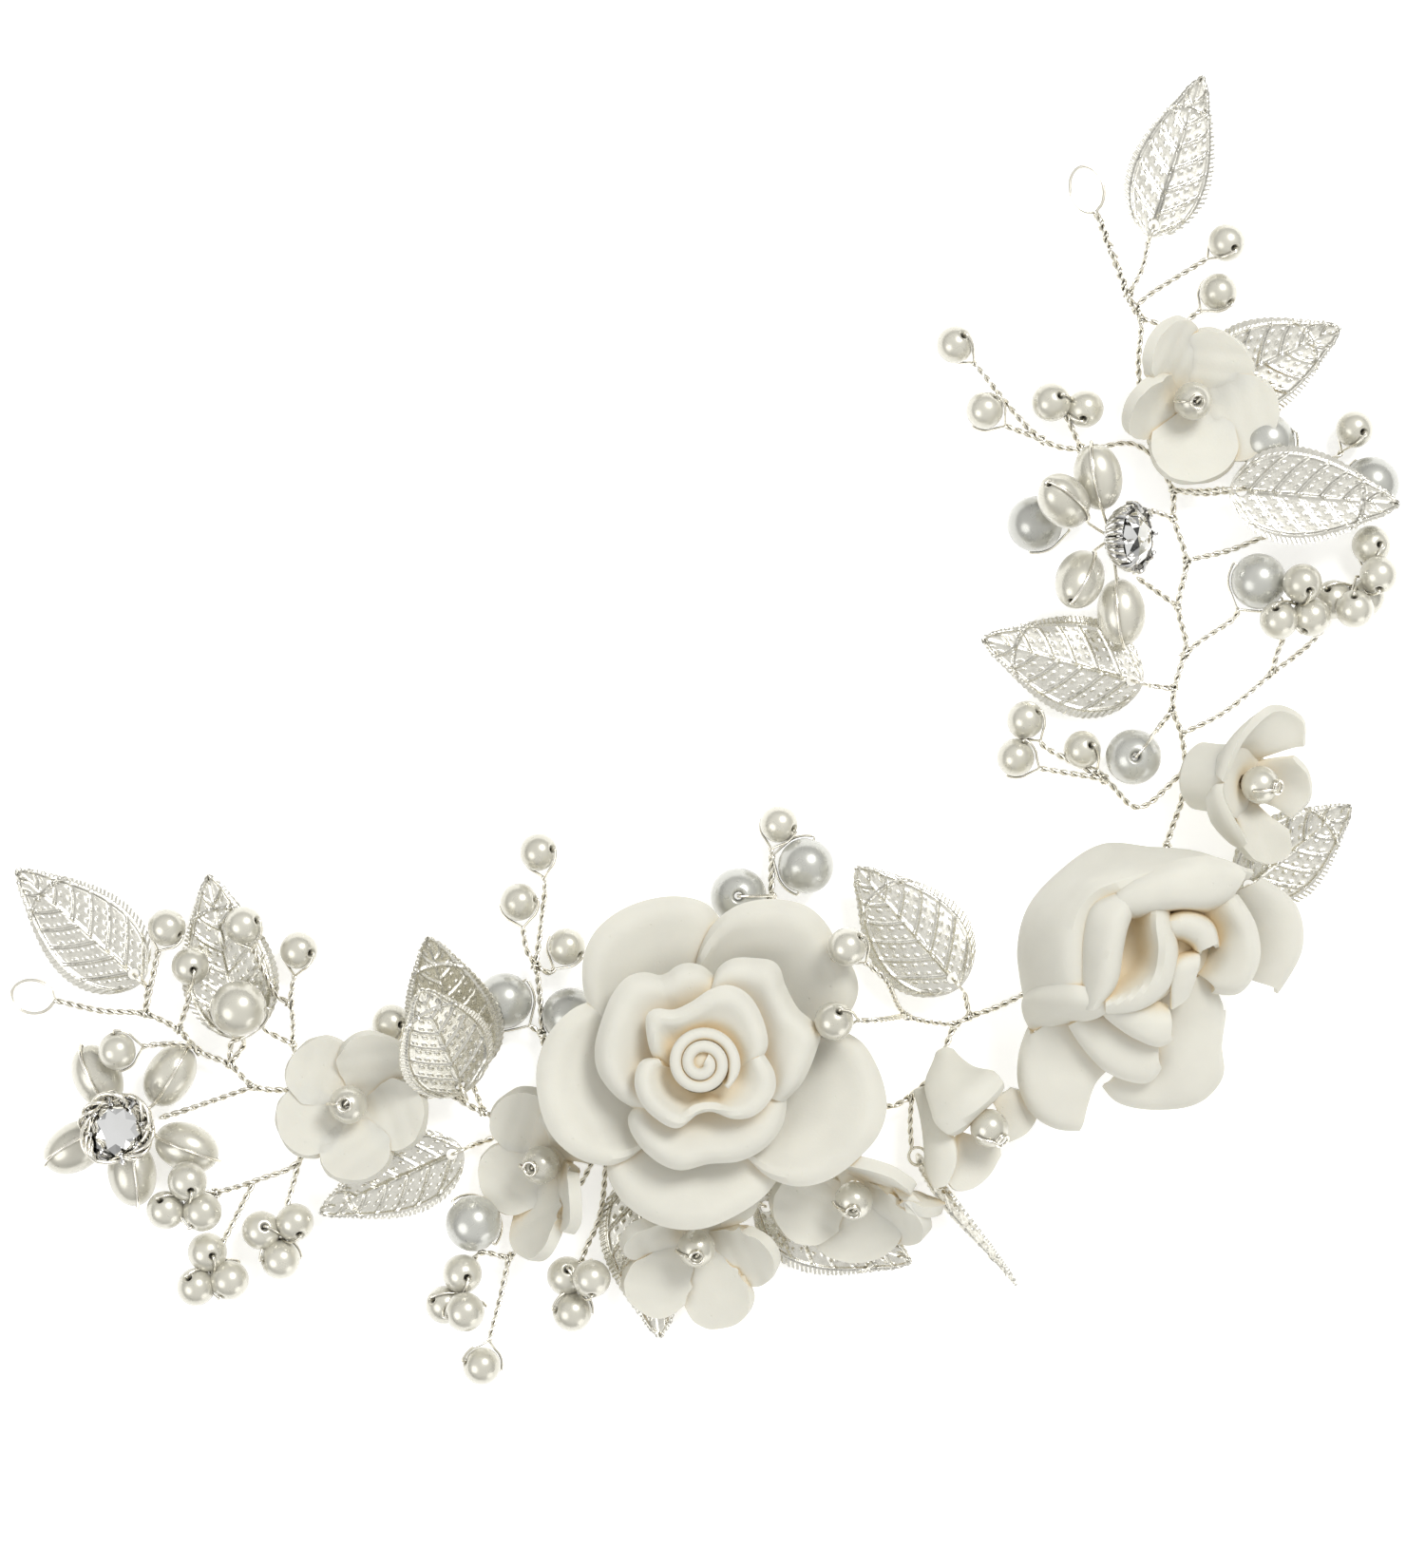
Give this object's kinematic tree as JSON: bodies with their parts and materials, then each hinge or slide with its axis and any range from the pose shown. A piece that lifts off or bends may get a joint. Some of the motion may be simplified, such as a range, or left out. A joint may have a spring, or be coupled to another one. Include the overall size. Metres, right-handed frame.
{
  "type": "bridal hair vine",
  "caption": "Bridal hair vine: twisted wire stem with pin loops, clay roses and small flowers, stamped leaves, rhinestone flowers and pearl sprigs.",
  "frame": {"origin": "on the surface it lies on, under the middle of its bounding box", "axes": "+Z away from the hair, up when it lies on its back; +X along the long lower arm of the vine towards the rose end, +Y towards the upper pin loop"},
  "size_m": [0.1836, 0.1726, 0.0277],
  "materials": {
    "ivory_clay": "air-dried polymer clay, matte and slightly pitted, warm in the folds",
    "ivory_pearl": "pearlescent coated round and oval beads",
    "stamped_silver": "bright silver plated stamped leaf with veins and hatching",
    "silver_wire": "thin plated craft wire, two strands twisted together",
    "silver_cup": "polished ribbed claw cup",
    "clear_crystal": "clear faceted rhinestone with a mirrored back"
  },
  "bodies": {
    "vine_frame": {"stem_wire_left": "silver_wire", "stem_wire_centre": "silver_wire", "stem_wire_right": "silver_wire", "stem_wire_top": "silver_wire", "rose_1_outer_petals": "ivory_clay", "rose_1_middle_petals": "ivory_clay", "rose_1_inner_petals": "ivory_clay", "rose_1_bud": "ivory_clay", "rose_2_outer_petals": "ivory_clay", "rose_2_inner_petals": "ivory_clay", "rose_2_bud": "ivory_clay", "rhinestone_1_cup": "silver_cup", "rhinestone_1_stone": "clear_crystal", "rhinestone_1_pearls": "ivory_pearl", "rhinestone_2_cup": "silver_cup", "rhinestone_2_stone": "clear_crystal", "rhinestone_2_pearls": "ivory_pearl", "pearl_trio_1": "ivory_pearl", "pearl_trio_2": "ivory_pearl", "pearl_trio_3": "ivory_pearl", "pearl_trio_4": "ivory_pearl", "pearl_trio_5": "ivory_pearl", "pearl_trio_6": "ivory_pearl", "pearl_bunch": "ivory_pearl", "pearl_pair": "ivory_pearl"},
    "leaf_1_body": {"leaf_1": "stamped_silver"},
    "leaf_2_body": {"leaf_2": "stamped_silver"},
    "leaf_3_body": {"leaf_3": "stamped_silver"},
    "leaf_4_body": {"leaf_4": "stamped_silver"},
    "leaf_5_body": {"leaf_5": "stamped_silver"},
    "leaf_6_body": {"leaf_6": "stamped_silver"},
    "leaf_7_body": {"leaf_7": "stamped_silver"},
    "leaf_8_body": {"leaf_8": "stamped_silver"},
    "leaf_9_body": {"leaf_9": "stamped_silver"},
    "leaf_10_body": {"leaf_10": "stamped_silver"},
    "leaf_11_body": {"leaf_11": "stamped_silver"},
    "leaf_12_body": {"leaf_12": "stamped_silver"},
    "leaf_13_body": {"leaf_13": "stamped_silver"},
    "leaf_14_body": {"leaf_14": "stamped_silver"},
    "flower_1_body": {"flower_1": "ivory_clay"},
    "flower_2_body": {"flower_2": "ivory_clay"},
    "flower_3_body": {"flower_3": "ivory_clay"},
    "flower_4_body": {"flower_4": "ivory_clay"},
    "flower_5_body": {"flower_5": "ivory_clay"},
    "flower_6_body": {"flower_6": "ivory_clay"},
    "flower_7_body": {"flower_7": "ivory_clay"},
    "flower_1_pearl_body": {"flower_1_pearl": "ivory_pearl"},
    "flower_2_pearl_body": {"flower_2_pearl": "ivory_pearl"},
    "flower_3_pearl_body": {"flower_3_pearl": "ivory_pearl"},
    "flower_4_pearl_body": {"flower_4_pearl": "ivory_pearl"},
    "flower_5_pearl_body": {"flower_5_pearl": "ivory_pearl"},
    "flower_6_pearl_body": {"flower_6_pearl": "ivory_pearl"},
    "flower_7_pearl_body": {"flower_7_pearl": "ivory_pearl"},
    "large_pearl_1_body": {"large_pearl_1": "ivory_pearl"},
    "large_pearl_2_body": {"large_pearl_2": "ivory_pearl"},
    "large_pearl_3_body": {"large_pearl_3": "ivory_pearl"},
    "large_pearl_4_body": {"large_pearl_4": "ivory_pearl"},
    "large_pearl_5_body": {"large_pearl_5": "ivory_pearl"},
    "large_pearl_6_body": {"large_pearl_6": "ivory_pearl"},
    "large_pearl_7_body": {"large_pearl_7": "ivory_pearl"}
  },
  "joints": [
    {"name": "leaf_1_swing", "type": "hinge", "parent": "vine_frame", "child": "leaf_1_body", "pos_m": [-0.07533, -0.032, 0.0036], "axis": [0.0389, -0.035, 0.9986], "range_deg": [-5, 20]},
    {"name": "leaf_2_swing", "type": "hinge", "parent": "vine_frame", "child": "leaf_2_body", "pos_m": [-0.06133, -0.0391, 0.0021], "axis": [0, 0, 1], "range_deg": [-6, 20]},
    {"name": "leaf_3_swing", "type": "hinge", "parent": "vine_frame", "child": "leaf_3_body", "pos_m": [-0.03133, -0.0439, 0.0034], "axis": [-0.0566, -0.4906, 0.8695], "range_deg": [-20, 12]},
    {"name": "leaf_4_swing", "type": "hinge", "parent": "vine_frame", "child": "leaf_4_body", "pos_m": [-0.03193, -0.0465, 0.0072], "axis": [0.4097, -0.5512, 0.7269], "range_deg": [-20, 6]},
    {"name": "leaf_5_swing", "type": "hinge", "parent": "vine_frame", "child": "leaf_5_body", "pos_m": [-0.03333, -0.0559, 0.0026], "axis": [0, 0, 1], "range_deg": [-20, 15]},
    {"name": "leaf_6_swing", "type": "hinge", "parent": "vine_frame", "child": "leaf_6_body", "pos_m": [0.03277, -0.0325, 0.005], "axis": [0, 0, 1], "range_deg": [-25, 25]},
    {"name": "leaf_7_swing", "type": "hinge", "parent": "vine_frame", "child": "leaf_7_body", "pos_m": [0.02897, -0.0569, 0.0047], "axis": [-0.7572, -0.6132, 0.2249], "range_deg": [-15, 0]},
    {"name": "leaf_8_swing", "type": "hinge", "parent": "vine_frame", "child": "leaf_8_body", "pos_m": [0.00827, -0.0629, 0.0015], "axis": [0, 0, 1], "range_deg": [-12, 12]},
    {"name": "leaf_9_swing", "type": "hinge", "parent": "vine_frame", "child": "leaf_9_body", "pos_m": [-0.00823, -0.0599, 0.002], "axis": [0, 0, 1], "range_deg": [0, 15]},
    {"name": "leaf_10_swing", "type": "hinge", "parent": "vine_frame", "child": "leaf_10_body", "pos_m": [0.07217, -0.0203, 0.0022], "axis": [0, 0, 1], "range_deg": [-15, 15]},
    {"name": "leaf_11_swing", "type": "hinge", "parent": "vine_frame", "child": "leaf_11_body", "pos_m": [0.05667, 0.0068, 0.002], "axis": [0, 0, 1], "range_deg": [-20, 3]},
    {"name": "leaf_12_swing", "type": "hinge", "parent": "vine_frame", "child": "leaf_12_body", "pos_m": [0.07057, 0.0316, 0.0076], "axis": [-0.0695, 0.0066, 0.9976], "range_deg": [-15, 20]},
    {"name": "leaf_13_swing", "type": "hinge", "parent": "vine_frame", "child": "leaf_13_body", "pos_m": [0.06747, 0.0454, 0.0024], "axis": [0, 0, 1], "range_deg": [0, 15]},
    {"name": "leaf_14_swing", "type": "hinge", "parent": "vine_frame", "child": "leaf_14_body", "pos_m": [0.05947, 0.0669, 0.0036], "axis": [0, 0, 1], "range_deg": [-20, 20]},
    {"name": "flower_1_turn", "type": "hinge", "parent": "vine_frame", "child": "flower_1_body", "pos_m": [-0.04613, -0.0492, 0.0052], "axis": [-0.099, 0.099, 0.9901], "range_deg": [-12, 20]},
    {"name": "flower_2_turn", "type": "hinge", "parent": "vine_frame", "child": "flower_2_body", "pos_m": [-0.01953, -0.0563, 0.0056], "axis": [-0.4609, -0.1002, 0.8818], "range_deg": [-12, 12]},
    {"name": "flower_3_turn", "type": "hinge", "parent": "vine_frame", "child": "flower_3_body", "pos_m": [-0.00093, -0.0663, 0.005], "axis": [0, -0.3401, 0.9404], "range_deg": [-15, 15]},
    {"name": "flower_4_turn", "type": "hinge", "parent": "vine_frame", "child": "flower_4_body", "pos_m": [0.01987, -0.0595, 0.0056], "axis": [-0.06, -0.4703, 0.8805], "range_deg": [-12, 10]},
    {"name": "flower_5_turn", "type": "hinge", "parent": "vine_frame", "child": "flower_5_body", "pos_m": [0.03507, -0.0495, 0.0103], "axis": [0.5495, -0.5495, 0.6294], "range_deg": [-15, 0]},
    {"name": "flower_6_turn", "type": "hinge", "parent": "vine_frame", "child": "flower_6_body", "pos_m": [0.06967, -0.0065, 0.0088], "axis": [0.7502, -0.12, 0.6502], "range_deg": [-20, 20]},
    {"name": "flower_7_turn", "type": "hinge", "parent": "vine_frame", "child": "flower_7_body", "pos_m": [0.06357, 0.0437, 0.0056], "axis": [0.1183, -0.1183, 0.9859], "range_deg": [-8, 5]},
    {"name": "flower_1_pearl_spin", "type": "hinge", "parent": "vine_frame", "child": "flower_1_pearl_body", "pos_m": [-0.04652, -0.04881, 0.00906], "axis": [-0.099, 0.099, 0.9901], "continuous": true},
    {"name": "flower_2_pearl_spin", "type": "hinge", "parent": "vine_frame", "child": "flower_2_pearl_body", "pos_m": [-0.02133, -0.05669, 0.00904], "axis": [-0.4609, -0.1002, 0.8818], "continuous": true},
    {"name": "flower_3_pearl_spin", "type": "hinge", "parent": "vine_frame", "child": "flower_3_pearl_body", "pos_m": [-0.00093, -0.06763, 0.00867], "axis": [0, -0.3401, 0.9404], "continuous": true},
    {"name": "flower_4_pearl_spin", "type": "hinge", "parent": "vine_frame", "child": "flower_4_pearl_body", "pos_m": [0.01963, -0.06134, 0.00903], "axis": [-0.06, -0.4703, 0.8805], "continuous": true},
    {"name": "flower_5_pearl_spin", "type": "hinge", "parent": "vine_frame", "child": "flower_5_pearl_body", "pos_m": [0.03721, -0.05164, 0.01276], "axis": [0.5495, -0.5495, 0.6294], "continuous": true},
    {"name": "flower_6_pearl_spin", "type": "hinge", "parent": "vine_frame", "child": "flower_6_pearl_body", "pos_m": [0.07259, -0.00697, 0.01134], "axis": [0.7502, -0.12, 0.6502], "continuous": true},
    {"name": "flower_7_pearl_spin", "type": "hinge", "parent": "vine_frame", "child": "flower_7_pearl_body", "pos_m": [0.06403, 0.04324, 0.00945], "axis": [0.1183, -0.1183, 0.9859], "continuous": true},
    {"name": "large_pearl_1_spin", "type": "hinge", "parent": "vine_frame", "child": "large_pearl_1_body", "pos_m": [-0.06113, -0.0363, 0.0066], "axis": [1, 0, 0], "continuous": true},
    {"name": "large_pearl_2_spin", "type": "hinge", "parent": "vine_frame", "child": "large_pearl_2_body", "pos_m": [-0.02633, -0.0355, 0.0038], "axis": [0.7071, 0.7071, 0], "continuous": true},
    {"name": "large_pearl_3_spin", "type": "hinge", "parent": "vine_frame", "child": "large_pearl_3_body", "pos_m": [0.01347, -0.0177, 0.0042], "axis": [0.2873, 0.9578, 0], "continuous": true},
    {"name": "large_pearl_4_spin", "type": "hinge", "parent": "vine_frame", "child": "large_pearl_4_body", "pos_m": [0.00457, -0.0215, 0.0048], "axis": [0, 0, 1], "continuous": true},
    {"name": "large_pearl_5_spin", "type": "hinge", "parent": "vine_frame", "child": "large_pearl_5_body", "pos_m": [-0.03033, -0.0648, 0.0044], "axis": [-0.7071, 0.7071, 0], "continuous": true},
    {"name": "large_pearl_6_spin", "type": "hinge", "parent": "vine_frame", "child": "large_pearl_6_body", "pos_m": [0.05667, -0.0032, 0.0048], "axis": [0, 0, 1], "continuous": true},
    {"name": "large_pearl_7_spin", "type": "hinge", "parent": "vine_frame", "child": "large_pearl_7_body", "pos_m": [0.07327, 0.0199, 0.0042], "axis": [0.8, -0.6, 0], "continuous": true}
  ]
}
